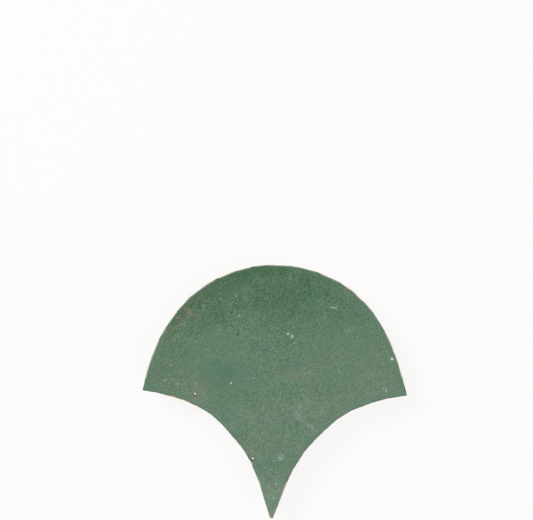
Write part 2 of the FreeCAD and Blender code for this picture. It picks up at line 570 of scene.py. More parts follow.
@dataclass
class GlazedEarthenware:
    """The tile's one material: glaze over clay, with the clay showing where the mesh is bare."""

    glaze: GlazeFinish = field(default_factory=GlazeFinish)
    clay: ClayFinish = field(default_factory=ClayFinish)
    ragged: Cloud = Cloud(0.8, 3.0, 0.6)
    ragged_share: float = 0.6
    bare_span: Span = (0.44, 0.56)
    fleck_span: Span = (1.2, 0.5)
    fleck_luck: float = 0.01
    relief_strength: float = 0.8
    relief_height: float = 0.3

    def build(self) -> bpy.types.Material:
        """Makes the material.

        Returns:
            The new material, ready for the tile.
        """
        material = bpy.data.materials.new("glazed_earthenware")
        material.use_nodes = True
        self.recipe = Recipe(material.node_tree)
        self._find_places()
        recipe = self.recipe
        ragged = recipe.noise(self.place, self.ragged)
        bare = (recipe.attribute(BARE) + self.ragged_share * ragged).rise(*self.bare_span)
        grain = self._grain()
        sockets = {
            "Base Color": recipe.blend(bare, self._glaze_colour(grain), self._clay_colour()),
            "Roughness": self._roughness(bare, grain),
            "IOR": self.glaze.index,
            "Normal": self._relief(bare, grain),
        }
        surface = recipe.node("ShaderNodeBsdfPrincipled", None, sockets)
        recipe.node("ShaderNodeOutputMaterial", None, {"Surface": surface.outputs["BSDF"]})
        return material

    def _find_places(self) -> None:
        """Reads where a point lies: as it is, and strayed, so that what is drawn there has no even edge."""
        recipe = self.recipe
        objects = recipe.node("ShaderNodeTexCoord").outputs["Object"]
        self.place = recipe.vector("MULTIPLY", objects, (1 / MM,) * 3)
        reach = (self.glaze.wander_reach, self.glaze.wander_reach, 0.0)
        shift = recipe.vector("MULTIPLY", recipe.wander(self.place, self.glaze.wander), reach)
        self.strayed = recipe.vector("ADD", self.place, shift)
        level = (1.0, 1.0, 0.0)
        self.crisp = recipe.vector("MULTIPLY", self.place, level)
        self.soft = recipe.vector("MULTIPLY", self.strayed, level)
        parts = recipe.node("ShaderNodeSeparateXYZ", None, {"Vector": self.strayed})
        self.across = {axis: Value(recipe, parts.outputs[axis.value]) for axis in Axis}

    def _sloped(self, level: float, slopes: tuple[Slope, ...]) -> Value:
        """A value that changes across the face.

        Args:
            level: Its level before any change.
            slopes: The changes.

        Returns:
            The level with all the changes added.
        """
        for slope in slopes:
            level = level + slope.by * self.across[slope.axis].rise(slope.start, slope.end)
        return level

    def _stretched(self, place: Socket, middle: Span, length: float, width: float, turn: float) -> Socket:
        """Measures places from a middle, along and across an ellipse on the face.

        Args:
            place: The place in millimetres.
            middle: The ellipse's middle, along X and Y.
            length: Its half length.
            width: Its half width.
            turn: Its turn in degrees.

        Returns:
            The place's socket, 1 away from the middle on the ellipse.
        """
        sockets = {
            "Vector": place,
            "Location": (*middle, 0.0),
            "Rotation": (0.0, 0.0, math.radians(turn)),
            "Scale": (length, width, width),
        }
        made = self.recipe.node("ShaderNodeMapping", {"vector_type": "TEXTURE"}, sockets)
        return made.outputs["Vector"]

    def _away(self, place: Socket, middle: Span, length: float, width: float, turn: float = 0.0) -> Value:
        """How far a place on the face lies from an ellipse's middle: 1 on the ellipse."""
        return self.recipe.length(self._stretched(place, middle, length, width, turn))

    def _grain(self) -> Value:
        """The glaze's fine grain over the marks of its brushing, as a share of its brightness.

        Returns:
            The grain, about 0 on the whole.
        """
        glaze = self.glaze
        stroke = (glaze.brush_length, glaze.brush_width, glaze.brush_turn)
        along = self._stretched(self.place, (0.0, 0.0), *stroke)
        brushed = glaze.brush_height * self.recipe.noise(along, glaze.brush)
        return glaze.grain_height * self.recipe.noise(self.place, glaze.grain) + brushed

    def _is_crisp(self, patch: Patch) -> bool:
        """Whether a patch is narrow enough to have a clear edge."""
        return patch.width < self.glaze.crisp_width

    def _patch(self, patch: Patch) -> Value:
        """A patch's mask.

        Args:
            patch: The patch.

        Returns:
            Its strength at the middle, fading outwards to nothing.
        """
        place = self.crisp if self._is_crisp(patch) else self.soft
        away = self._away(place, (patch.x, patch.y), patch.length, patch.width, patch.turn)
        return away.rise(*self.glaze.patch_span) * patch.strength

    def _flecks(self, flecks: Flecks) -> Value:
        """Scatters small flecks.

        Args:
            flecks: How they lie and how strong they are.

        Returns:
            Their strength on a fleck and 0 between them.
        """
        sockets = {"Vector": self.place, "Scale": 1 / flecks.spacing}
        settings = {"voronoi_dimensions": flecks.strewn.value}
        made = self.recipe.node("ShaderNodeTexVoronoi", settings, sockets)
        luck = self.recipe.node("ShaderNodeSeparateColor", None, {"Color": made.outputs["Color"]})
        away = Value(self.recipe, made.outputs["Distance"]) * (flecks.spacing / flecks.radius)
        unlucky = flecks.share + self.fleck_luck
        lucky = flecks.share - self.fleck_luck
        chosen = Value(self.recipe, luck.outputs["Red"]).rise(unlucky, lucky)
        return away.rise(*self.fleck_span) * chosen * flecks.strength

    def _tone(self) -> Value:
        """Works out how deep the glaze looks, from thin and pale to pooled and dark, and where painted
        shade darkens it.

        Returns:
            About 0 where it is palest, 0.5 for its body colour and over 1 where it is deepest.
        """
        tone = self._sloped(self.glaze.tone, TONE_SLOPES)
        for cloud, share in self.glaze.tone_clouds:
            tone = tone + share * self.recipe.noise(self.place, cloud)
        for patch in PATCHES:
            if patch.tint is Tint.DEEP:
                tone = tone + self._patch(patch)
            elif patch.tint is Tint.PALE:
                tone = tone - self._patch(patch)
        return tone

    def _glaze_colour(self, grain: Value) -> Socket:
        """Works out the glaze's colour.

        Args:
            grain: The fine grain's noise.

        Returns:
            The colour's socket.
        """
        recipe = self.recipe
        glaze = self.glaze
        tone = self._tone()
        colour = recipe.blend(tone.rise(*glaze.body_span), glaze.pale, glaze.body)
        colour = recipe.blend(tone.rise(*glaze.deep_span), colour, glaze.deep)
        low, high = glaze.hue_span
        for cloud, share in glaze.hue_clouds:
            hue = recipe.noise(self.strayed, cloud)
            colour = recipe.blend(hue.rise(low, high) * share, colour, glaze.teal)
            colour = recipe.blend(hue.rise(-low, -high) * share, colour, glaze.warm)
        colour = self._shaded(self._patched(colour), grain)
        colour = recipe.blend(self._flecks(glaze.pale_flecks), colour, glaze.fleck)
        colour = recipe.blend(self._flecks(glaze.iron_flecks), colour, glaze.iron_fleck)
        colour = self._rimmed(colour)
        ragged = recipe.noise(self.place, glaze.ragged)
        for blemish in BLEMISHES:
            colour = self._blemished(blemish, ragged, colour)
        return colour

    def _patched(self, colour: Socket) -> Socket:
        """Draws the patches of other colours, with the chalky and scuffed ones rubbed.

        Args:
            colour: The glaze's colour.

        Returns:
            The new colour's socket.
        """
        glaze = self.glaze
        hues = {
            Tint.TEAL: glaze.teal,
            Tint.WARM: glaze.warm,
            Tint.SCUFF: glaze.scuff,
            Tint.CHALK: glaze.chalk,
        }
        rubbed = (1 - glaze.rubbed.strength) + self.recipe.veil(self.place, glaze.rubbed)
        for patch in PATCHES:
            if patch.tint in hues:
                share = self._patch(patch)
                if patch.tint in (Tint.CHALK, Tint.SCUFF) and not self._is_crisp(patch):
                    share = share * rubbed
                colour = self.recipe.blend(share, colour, hues[patch.tint])
        return colour

    def _shaded(self, colour: Socket, grain: Value) -> Socket:
        """Lightens and darkens a colour with the grain, lifted so that its light specks stand out.

        Args:
            colour: The glaze's colour.
            grain: The fine grain's noise.

        Returns:
            The new colour's socket.
        """
        glaze = self.glaze
        strong = self._sloped(glaze.grain_share, GRAIN_SLOPES)
        shade = glaze.grain_middle + strong * (grain + glaze.grain_lift * grain * grain)
        return self.recipe.vector("MULTIPLY", colour, shade)

    def _rimmed(self, colour: Socket) -> Socket:
        """Draws the thin line at the rim: pale and broken round the head and tail, dark along the flanks.

        Args:
            colour: The glaze's colour.

        Returns:
            The new colour's socket.
        """
        recipe = self.recipe
        glaze = self.glaze
        thin = self._sloped(glaze.rim_pale, PALE_RIM_SLOPES) + recipe.noise(self.place, glaze.rim_broken)
        rim = recipe.blend(thin.rise(*glaze.rim_pale_span), glaze.dark_rim_line, glaze.thin_rim)
        near = recipe.attribute(EDGE).rise(*glaze.rim_width_span)
        return recipe.blend(near * glaze.rim_strength, colour, rim)

    def _blemished(self, blemish: Blemish, ragged: Value, colour: Socket) -> Socket:
        """Draws one small fault of the glaze over a colour.

        Args:
            blemish: The fault.
            ragged: Noise that makes its outline uneven.
            colour: The colour around it.

        Returns:
            The new colour's socket.
        """
        recipe = self.recipe
        glaze = self.glaze
        radius = blemish.radius
        if blemish.kind is BlemishKind.PINHOLE:
            shift = glaze.hole_shift * radius
            hole = self._away(self.crisp, (blemish.x, blemish.y - shift), radius, radius) + ragged
            colour = recipe.blend(hole.rise(*glaze.hole_span) * glaze.hole_strength, colour, glaze.pit)
            # The pale spot just above the pinhole is its lip, brightened with a painted highlight
            lip_and_glint = self._away(self.crisp, (blemish.x, blemish.y + shift), radius, radius)
            return recipe.blend(lip_and_glint.rise(*glaze.lip_and_glint_span), colour, glaze.lip_and_glint)
        hue = {
            BlemishKind.SPALL: glaze.white_chip,
            BlemishKind.SPECK: glaze.fleck,
            BlemishKind.TEAL_SPECK: glaze.teal_fleck,
        }[blemish.kind]
        away = self._away(self.crisp, (blemish.x, blemish.y), radius, radius)
        speck = (away + glaze.speck_ragged * ragged).rise(*glaze.speck_span)
        return recipe.blend(speck * glaze.speck_strength, colour, hue)

    def _clay_colour(self) -> Socket:
        """Works out the bare clay's colour: sandy, with pinker clouds, pale sand, dirt, dust and painted
        shade in the hollows, and dark grains.

        Returns:
            The colour's socket.
        """
        recipe = self.recipe
        clay = self.clay
        colour = recipe.blend(recipe.veil(self.place, clay.pink_clouds), clay.body, clay.pink)
        colour = recipe.blend(recipe.veil(self.place, clay.sand_clouds), colour, clay.sand)
        # Darker in the flake scars' hollows: dust there, and painted shade
        hollow = recipe.attribute(HOLLOW).rise(*clay.dust_and_shade_span)
        dust_and_shade = hollow * (clay.dust_and_shade + recipe.veil(self.place, clay.dust_and_shade_clouds))
        colour = recipe.blend(dust_and_shade + recipe.veil(self.place, clay.dirt), colour, clay.dark)
        return recipe.blend(self._flecks(clay.grains), colour, clay.dark)

    def _roughness(self, bare: Value, grain: Value) -> Value:
        """Works out the roughness: satin on the glaze and dry on the clay.

        Args:
            bare: Where the clay shows.
            grain: The fine grain's noise.

        Returns:
            The roughness.
        """
        glaze = self.glaze
        wander = glaze.sheen_wander * self.recipe.noise(self.place, glaze.sheen)
        satin = glaze.roughness + wander + glaze.sheen_grain * grain
        return satin + bare * (self.clay.roughness - satin)

    def _relief(self, bare: Value, grain: Value) -> Socket:
        """Makes the finest relief: the glaze's skin and the clay's sandy tooth.

        Args:
            bare: Where the clay shows.
            grain: The fine grain's noise.

        Returns:
            The normal's socket.
        """
        glaze = self.glaze
        skin = glaze.skin_height * self.recipe.noise(self.place, glaze.skin) + glaze.skin_grain * grain
        tooth = self.recipe.noise(self.place, self.clay.tooth)
        sockets = {
            "Strength": self.relief_strength,
            "Distance": self.relief_height * MM,
            "Height": skin + bare * (tooth - skin),
        }
        return self.recipe.node("ShaderNodeBump", None, sockets).outputs["Normal"]


@dataclass(frozen=True)
class Run:
    """One stretch of the true outline: straight, or an arc about a centre, in one cut or many."""

    start: Vector
    end: Vector
    centre: Vector | None = None
    one_cut: bool = False

    def sweep(self) -> float:
        """Works out how far an arc turns.

        Returns:
            The signed angle from its start to its end, in radians.
        """
        first = self.start - self.centre
        last = self.end - self.centre
        return math.atan2(first.x * last.y - first.y * last.x, first.dot(last))

    def length(self) -> float:
        """Measures the stretch.

        Returns:
            Its length.
        """
        if self.centre is None:
            return (self.end - self.start).length
        return (self.start - self.centre).length * abs(self.sweep())

    def at(self, share: float) -> Vector:
        """Finds a point of the stretch.

        Args:
            share: The share of its length before the point.

        Returns:
            The point.
        """
        if self.centre is None:
            return self.start.lerp(self.end, share)
        return self.centre + Matrix.Rotation(self.sweep() * share, 2) @ (self.start - self.centre)


@dataclass(frozen=True)
class Swell:
    """A place where the cutter left the edge a little proud, or took off too much."""

    x: float
    y: float
    reach: float
    by: float

    def at(self, p: Vector) -> float:
        """How far the edge stands out at a point."""
        return self.by * math.exp(-(((p.x - self.x) ** 2 + (p.y - self.y) ** 2) / self.reach**2))


SWELLS = (
    Swell(-47.4, 7.5, 6.7, 0.6),
    Swell(43.1, 21.0, 13.4, -0.45),
    Swell(35.0, -5.0, 9.0, 0.40),
    Swell(21.0, -12.5, 8.0, 0.30),
    Swell(17.5, -15.5, 4.0, 0.40),
    Swell(13.0, -20.5, 6.0, 0.62),
    Swell(6.5, -30.5, 4.5, 0.35),
    Swell(45.0, -2.5, 4.0, 0.35),
    Swell(-40.0, -2.2, 5.0, 0.22),
    Swell(-24.0, -8.2, 5.0, -0.40),
    Swell(-14.5, -18.0, 6.5, 0.22),
    Swell(-3.3, -42.0, 5.0, -0.15),
)


@dataclass
class HandCutOutline:
    """The glazed face's outline as the chisel left it, in straight cuts of uneven width."""

    head_radius: float = CAD_HIGH[1]
    shoulder_flare: float = CAD_HIGH[0] - CAD_HIGH[1]
    corner_drop: float = 0.5
    joint_width: float = 2.5
    tail_cut: float = 14.0
    tip_width: float = 1.2
    least_tip: float = 0.4
    tip_sway: float = -0.3
    sway_start: float = 0.55
    chisel_width: float = 6.4
    unevenness: float = 0.32
    slip: float = 0.14
    pitch: float = 0.36
    tangent_step: float = 0.01
    seed: int = 7

    def __post_init__(self) -> None:
        """Cuts the outline and divides each cut into stations."""
        self.chance = random.Random(self.seed)
        self.corners = self._cut_corners()
        sides = self._sides(self.corners)
        self.counts = [max(1, math.ceil(side.length / self.pitch)) for side in sides]

    @staticmethod
    def _crossing(first: Vector, first_radius: float, second: Vector, second_radius: float) -> Vector:
        """Finds where two circles cross, to the right of the way from the first to the second.

        Args:
            first: The first circle's centre.
            first_radius: Its radius.
            second: The second circle's centre.
            second_radius: Its radius.

        Returns:
            The crossing point.
        """
        way = second - first
        along = (way.length_squared + first_radius**2 - second_radius**2) / (2 * way.length)
        aside = math.sqrt(first_radius**2 - along**2)
        return first + way * (along / way.length) + Vector((way.y, -way.x)) * (aside / way.length)

    def _runs(self) -> list[Run]:
        """Draws the true outline.

        Returns:
            Its stretches, anticlockwise from the right end of the tip.
        """
        flank_radius = self.head_radius + self.joint_width
        centre = Vector((0.0, 0.0))
        corner = Vector((self.head_radius + self.shoulder_flare, -self.corner_drop))
        shoulder = math.atan2(corner.y, corner.x) + math.acos(self.head_radius / corner.length)
        head_end = self.head_radius * Vector((math.cos(shoulder), math.sin(shoulder)))
        tip = Vector((self.tip_width / 2, -self.head_radius))
        flank = self._crossing(tip, math.hypot(flank_radius, self.tail_cut), corner, flank_radius)
        tail = self._crossing(flank, flank_radius, tip, self.tail_cut)

        def mirrored(p: Vector) -> Vector:
            """The same point on the other side of the centre line."""
            return Vector((-p.x, p.y))

        return [
            Run(tip, tail, one_cut=True),
            Run(tail, corner, flank),
            Run(corner, head_end),
            Run(head_end, mirrored(head_end), centre),
            Run(mirrored(head_end), mirrored(corner)),
            Run(mirrored(corner), mirrored(tail), mirrored(flank)),
            Run(mirrored(tail), mirrored(tip), one_cut=True),
            Run(mirrored(tip), tip, one_cut=True),
        ]

    def _by_hand(self, p: Vector, outward: Vector) -> Vector:
        """Moves a point of the true outline to where the cutter put it.

        Args:
            p: The point.
            outward: The way out of the tile there.

        Returns:
            The moved point.
        """
        by = sum(swell.at(p) for swell in SWELLS)
        sway = self.tip_sway * smooth(-self.sway_start * self.head_radius, -self.head_radius, p.y)
        return p + outward * by + Vector((sway, 0.0))

    def _cut_corners(self) -> list[Vector]:
        """Divides the outline into cuts of uneven width.

        Returns:
            The corners between the cuts, anticlockwise from the right end of the tip.
        """
        corners = []
        for run in self._runs():
            count = 1 if run.one_cut else max(1, round(run.length() / self.chisel_width))
            for i in range(count):
                wander = self.chance.uniform(-self.unevenness, self.unevenness) if i else 0.0
                slip = self.chance.uniform(-self.slip, self.slip) if i else 0.0
                share = (i + wander) / count
                way = (run.at(share + self.tangent_step) - run.at(share - self.tangent_step)).normalized()
                outward = Vector((way.y, -way.x))
                corners.append(self._by_hand(run.at(share) + outward * slip, outward))
        return corners

    @staticmethod
    def _sides(corners: list[Vector]) -> list[Vector]:
        """The way along each cut, from one corner to the next."""
        return [b - a for a, b in zip(corners, corners[1:] + corners[:1])]

    def inset_corners(self, insets: list[float]) -> list[Vector]:
        """Moves the corners inwards, so that each cut's side moves by its corners' insets.

        Args:
            insets: How far each corner's sides move, one for each corner.

        Returns:
            The moved corners. The two at the tip come no closer than the least width.
        """
        ways = [side.normalized() for side in self._sides(self.corners)]
        inward = [Vector((-way.y, way.x)) for way in ways]
        moved = []
        for corner, before, after, inset in zip(self.corners, inward[-1:] + inward[:-1], inward, insets):
            moved.append(corner + (before + after) * (inset / (1 + before.dot(after))))
        if (moved[0] - moved[-1]).dot(ways[-1]) < self.least_tip:
            gap = moved[-2] - moved[1]
            away = ways[0]
            back = ways[-2]
            share = (gap.x * back.y - gap.y * back.x) / (away.x * back.y - away.y * back.x)
            point = moved[1] + away * share
            short = self.least_tip / (away + back).length
            moved[0] = point + away * short
            moved[-1] = point - back * short
        return moved

    def stations(self, corners: list[Vector]) -> list[Vector]:
        """Divides the cuts between some corners, always into the same number of stations."""
        ends = corners[1:] + corners[:1]
        return [a.lerp(b, i / n) for a, b, n in zip(corners, ends, self.counts) for i in range(n)]


@dataclass(frozen=True)
class RimRing:
    """One ring of the whole rim: how far in and down it lies, and how bare it is."""

    inset: float
    drop: float
    bare: float


@dataclass(frozen=True)
class WornStretch:
    """A stretch of the rim where the glaze has worn through to the clay."""

    x: float
    y: float
    reach: float

    def at(self, p: Vector) -> float:
        """How worn the rim is at a point: 1 in the middle, 0 at its reach and less beyond."""
        return 1 - ((p.x - self.x) ** 2 + (p.y - self.y) ** 2) / self.reach**2


WORN_STRETCHES = (
    WornStretch(-36.5, -2.8, 7.0),
    WornStretch(-12.5, -20.5, 6.0),
    WornStretch(-6.4, -33.0, 4.0),
    WornStretch(-0.5, -47.5, 3.0),
    WornStretch(4.0, -36.0, 8.0),
    WornStretch(17.0, 44.9, 3.4),
    WornStretch(26.4, 39.7, 2.4),
    WornStretch(31.4, 35.3, 2.4),
    WornStretch(43.5, 17.5, 5.0),
    WornStretch(47.0, 7.0, 3.0),
    WornStretch(-46.6, 8.0, 4.0),
    WornStretch(-38.0, 29.0, 1.6),
    WornStretch(-21.0, 42.8, 2.0),
)


@dataclass(frozen=True)
class Humps:
    """Smooth humps: their length along X, their width, their depth and a shift that sets them apart."""

    length: float
    width: float
    depth: float
    shift: tuple[float, float, float] = (0.0, 0.0, 0.0)

    def level(self, place: Vector) -> float:
        """How far a place lies above the humps' middle level, both ways up to about the depth."""
        scaled = Vector((place.x / self.length, place.y / self.width, place.z / self.width))
        return self.depth * noise.noise(scaled + Vector(self.shift))

    def below(self, place: Vector) -> float:
        """How far a place lies below the humps' tops, from 0 to about the depth."""
        return (self.depth + self.level(place)) / 2


@dataclass(frozen=True)
class Bowls:
    """Scattered round hollows: how far apart they lie, how deep and wide, and how much they differ."""

    spacing: float
    depth: float
    reach: float
    differ: float = 0.0
    shift: float = 0.0
    flatten: float = 0.7
    shuffle: float = 7.3

    def at(self, place: Vector) -> float:
        """Measures how deep the hollows are.

        Args:
            place: Where they are measured.

        Returns:
            The depth there, from 0 to the deepest.
        """
        flat = Vector((place.x, place.y, self.flatten * (place.z + self.shift)))
        away, middles = noise.voronoi(flat / self.spacing)
        share = 1 - self.differ + self.differ * noise.cell(middles[0] * self.shuffle)
        return self.depth * share * max(0.0, 1 - (away[0] / self.reach) ** 2)


@dataclass
class Tile:
    """The fish scale tile: an uneven glazed face, a chipped rim, chiselled sides and a bare back."""

    outline: HandCutOutline = field(default_factory=HandCutOutline)
    thickness: float = CAD_HIGH[2]
    face_pitch: float = 0.46
    face_margin: float = 0.45
    back_pitch: float = 0.9
    back_margin: float = 1.2
    smooth_angle: float = 48.0

    # The rim, from the face over its arris
    face_insets: tuple[float, ...] = (1.7, 1.25, 0.92, 0.68, 0.5)
    arris: float = 0.4
    arris_steps: int = 5
    arris_drop: float = 0.01
    arris_bare: Span = (0.1, 0.35)
    under_rim: tuple[RimRing, ...] = (
        RimRing(0.0, 0.5, 0.42),
        RimRing(0.0, 0.64, 0.75),
        RimRing(0.0, 0.85, 1.0),
    )
    rim_height: float = 1.6
    rim_wander: float = 0.7
    fray: Humps = Humps(10 / 7, 10 / 7, 0.08, (0.0, 0.0, 2.1))
    fray_span: Span = (1.2, 0.4)

    # The chiselled sides, which lean in degrees
    lean: float = 15.0
    lean_wander: float = 6.0
    side_step: float = 0.5
    back_round: float = 0.25
    back_bevel: float = 0.3

    # Chips and wear along the rim
    chips: int = 46
    chip_reach: Span = (0.5, 1.9)
    chip_spread: Span = (0.6, 1.0)
    chip_depth: Span = (0.15, 0.34)
    chip_fall: float = 0.7
    chip_slope: float = 1.3
    chip_bare: Span = (0.02, 0.14)
    wear: float = 0.36
    wear_patches: Humps = Humps(10 / 3, 10 / 3, 0.6, (0.0, 0.0, 1.5))

    # The glazed face and its dents
    face_turn: float = 0.6
    face_rim: float = 5.0
    swell: Humps = Humps(19.0, 19.0, 0.5, (3.1, 0.7, 0.0))
    ripple: Humps = Humps(7.0, 7.0, 0.12, (0.0, 5.2, 1.0))
    skin: Humps = Humps(1.7, 1.7, 0.035, (8.0, 0.0, 2.0))
    skin_rim: float = 1.5
    rim_sag: float = 0.1
    rim_sag_reach: float = 1.3
    dent_floor: float = 0.25
    dent_reach: float = 1.6
    dent_margin: float = 0.2
    dent_cuts: int = 2

    # Flake scars on the sides
    least_side: float = 0.1
    large_scars: Bowls = Bowls(4.6, 0.85, 0.62, 0.4)
    small_scars: Bowls = Bowls(1.7, 0.32, 0.62, 0.4, 40.0)
    broken_clay: Humps = Humps(0.8, 0.8, 0.2)
    scar_span: Span = (0.5, 1.8)
    tip_span: Span = (0.3, 3.0)

    # The bare back
    back_level: float = 0.025
    back_rim: float = 3.0
    pressed: Humps = Humps(14.0, 14.0, 0.3)
    scraped: Humps = Humps(26.0, 1.9, 0.2, (0.0, 0.0, 4.0))
    pits: Bowls = Bowls(6.0, 0.4, 0.22, 0.0, 30 / 7)

    def build(self) -> bpy.types.Object:
        """Models the tile.

        Returns:
            The finished object, at the origin.
        """
        self._levels()
        self._start_ring()
        self._lay_net(self.face_pitch, self.thickness, self.ring_places[0], self.face_margin)
        self._fill_between()
        self._draw_down_sides()
        self._lay_net(self.back_pitch, 0.0, self.ring_places[-1], self.back_margin)
        self._fill_between()
        bpy.ops.mesh.select_all(action="SELECT")
        bpy.ops.mesh.normals_make_consistent(inside=False)
        bpy.ops.object.mode_set(mode="OBJECT")
        self._mark_surfaces()
        self._refine_blemishes()
        self._weather()
        bpy.ops.object.shade_smooth_by_angle(angle=math.radians(self.smooth_angle))
        return self.piece

    def dress(self, material: bpy.types.Material) -> None:
        """Gives the tile its material and sets it on its CAD body.

        Args:
            material: The glazed earthenware.
        """
        self.piece.data.materials.append(material)
        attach(self.piece, BODY)
        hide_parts(CAD_NODE)

    def _rim_rings(self) -> list[RimRing]:
        """Shapes the rim where it is whole.

        Returns:
            The rings from the face over the arris to the upright rim.
        """
        rings = [RimRing(inset, 0.0, 0.0) for inset in self.face_insets]
        least, most = self.arris_bare
        for step in range(self.arris_steps):
            share = (step + 0.5) / self.arris_steps
            turn = math.radians(90 * share)
            inset = self.arris * (1 - math.sin(turn))
            drop = self.arris_drop + self.arris * (1 - math.cos(turn))
            rings.append(RimRing(inset, drop, least + (most - least) * share))
        return [*rings, *self.under_rim]

    def _chip_depths(self, rim: list[Vector]) -> list[float]:
        """Knocks flakes off the rim.

        Args:
            rim: The outline's stations.

        Returns:
            How deep the flakes are at each station, 0 where the rim is whole.
        """
        chance = random.Random(self.outline.seed + 2)
        depths = [0.0] * len(rim)
        for _ in range(self.chips):
            middle = rim[chance.randrange(len(rim))]
            reach = chance.uniform(*self.chip_reach) * chance.uniform(*self.chip_spread)
            depth = reach * chance.uniform(*self.chip_depth)
            for i, place in enumerate(rim):
                share = (place - middle).length / reach
                if share < 1.0:
                    depths[i] = max(depths[i], depth * (1 - share * share) ** self.chip_fall)
        return depths

    def _worn(self, place: Vector) -> float:
        """How far the glaze is worn off the rim at a place, from 0 to 1."""
        most = max(0.0, max(stretch.at(place) for stretch in WORN_STRETCHES))
        return min(1.0, max(0.0, most + self.wear_patches.level(place.to_3d())))

    def _shifted(self, insets: list[float], shifts: list[float]) -> list[Vector]:
        """The outline's stations moved inwards, first by cuts and then one by one.

        Args:
            insets: How far in each corner's cuts lie.
            shifts: How much further in each station lies.

        Returns:
            The stations' places.
        """
        near = self.outline.stations(self.outline.inset_corners(insets))
        far = self.outline.stations(self.outline.inset_corners([inset + 1.0 for inset in insets]))
        return [a.lerp(b, shift) for a, b, shift in zip(near, far, shifts)]

    def _levels(self) -> None:
        """Works out the place of every ring's stations, from the face down to the back."""
        outline = self.outline
        chance = random.Random(outline.seed + 1)
        count = len(outline.corners)
        top = self.thickness - self.rim_height
        leans = [self.lean + chance.uniform(-self.lean_wander, self.lean_wander) for _ in range(count)]
        starts = [top + chance.uniform(-self.rim_wander, self.rim_wander) for _ in range(count)]
        for tip_corner in (-2, -1, 0, 1):
            leans[tip_corner] = self.lean
            starts[tip_corner] = top
        rim = outline.stations(outline.corners)
        self.frays = [self.fray.level(p.to_3d()) for p in rim]
        self.ring_places: list[list[Vector]] = []
        self.ring_bare: list[list[float]] = []
        chips = self._chip_depths(rim)
        worn = [self._worn(p) for p in rim]
        rings = self._rim_rings()
        for ring in rings:
            self._add_rim_ring(ring, chips, worn)
        level = self.thickness - rings[-1].drop - self.side_step
        while level > self.back_round:
            self._add_side_ring(level, leans, starts, 0.0)
            level -= self.side_step
        bevel = self.back_bevel * self.back_round
        for level, more in ((self.back_round, 0.0), (bevel, bevel), (0.0, self.back_round)):
            self._add_side_ring(level, leans, starts, more)

    def _add_rim_ring(self, ring: RimRing, chips: list[float], worn: list[float]) -> None:
        """Adds a ring of the rim, cut back where it is chipped: half of each flake inwards, half down.

        Args:
            ring: The whole ring.
            chips: The flakes' depth at each station.
            worn: How far the glaze is worn off at each station.
        """
        lost = [max(0.0, chip - ring.inset - ring.drop / self.chip_slope) for chip in chips]
        frayed = smooth(*self.fray_span, ring.inset)
        shifts = [loss / 2 + frayed * fray for loss, fray in zip(lost, self.frays)]
        flat = self._shifted([ring.inset] * len(self.outline.corners), shifts)
        levels = [self.thickness - ring.drop - self.chip_slope * loss / 2 for loss in lost]
        self.ring_places.append([Vector((p.x, p.y, level)) for p, level in zip(flat, levels)])
        rubbed = self.wear if ring.drop else 0.0
        self.ring_bare.append([
            max(ring.bare + rubbed * rub, smooth(*self.chip_bare, loss)) for rub, loss in zip(worn, lost)
        ])

    def _add_side_ring(self, level: float, leans: list[float], starts: list[float], more: float) -> None:
        """Adds a ring of the chiselled sides.

        Args:
            level: Its height above the back.
            leans: Each corner's lean in degrees.
            starts: The level where each corner's cut starts.
            more: How much further in the ring lies, where it rounds the back's edge.
        """
        insets = [max(0.0, s - level) * math.tan(math.radians(a)) + more for a, s in zip(leans, starts)]
        self.ring_places.append([Vector((p.x, p.y, level)) for p in self._shifted(insets, self.frays)])
        self.ring_bare.append([1.0] * len(self.frays))

    def _start_ring(self) -> None:
        """Adds the ring of vertices that the whole edge is drawn from."""
        first = self.ring_places[0]
        bpy.ops.object.select_all(action="DESELECT")
        bpy.ops.mesh.primitive_circle_add(vertices=len(first), radius=self.outline.head_radius * MM)
        self.piece = bpy.context.object
        self.piece.name = PIECE_NAME
        self.piece.data.name = PIECE_NAME
        bpy.ops.object.mode_set(mode="EDIT")
        bpy.ops.mesh.select_mode(type="EDGE")
        shape = self._shape()
        shape.verts.layers.int.new(STATION)
        shape.verts.layers.int.new(RING)
        station = shape.verts.layers.int[STATION]
        ring = shape.verts.layers.int[RING]
        shape.verts.ensure_lookup_table()
        for i, vertex in enumerate(shape.verts):
            vertex[station] = i + 1
            vertex[ring] = 1
            vertex.co = first[i] * MM
        bmesh.update_edit_mesh(self.piece.data)

    def _shape(self) -> bmesh.types.BMesh:
        """The mesh under edit."""
        return bmesh.from_edit_mesh(self.piece.data)

    def _lay_net(self, pitch: float, level: float, border: list[Vector], margin: float) -> None:
        """Adds a level grid and trims it to lie inside a border.

        Args:
            pitch: The size of its squares.
            level: Its height.
            border: The ring that it stays inside.
            margin: How far it stays clear of the ring.
        """
        wide = 2 * (self.outline.head_radius + self.outline.shoulder_flare)
        high = 2 * self.outline.head_radius
        bpy.ops.mesh.select_all(action="DESELECT")
        bpy.ops.mesh.primitive_grid_add(
            x_subdivisions=round(wide / pitch),
            y_subdivisions=round(high / pitch),
            size=1.0,
            location=(0.0, 0.0, level * MM),
        )
        bpy.ops.transform.resize(value=(wide * MM, high * MM, 1.0))
        shape = self._shape()
        ring = shape.verts.layers.int[RING]
        laid = [v for v in shape.verts if v.select]
        places = np.array([v.co[:2] for v in laid]) / MM
        inside = self._inside(places, np.array([p[:2] for p in border]))
        near = self._tree(border)
        shape.select_mode = {"VERT"}
        for vertex, within, place in zip(laid, inside, places):
            clear = within and near.find((*place, 0.0))[2] > margin
            vertex.select_set(not clear)
            vertex[ring] = 0
        shape.select_flush_mode()
        bmesh.update_edit_mesh(self.piece.data)
        bpy.ops.mesh.select_mode(type="VERT")
        bpy.ops.mesh.delete(type="VERT")
        self._drop_strands()

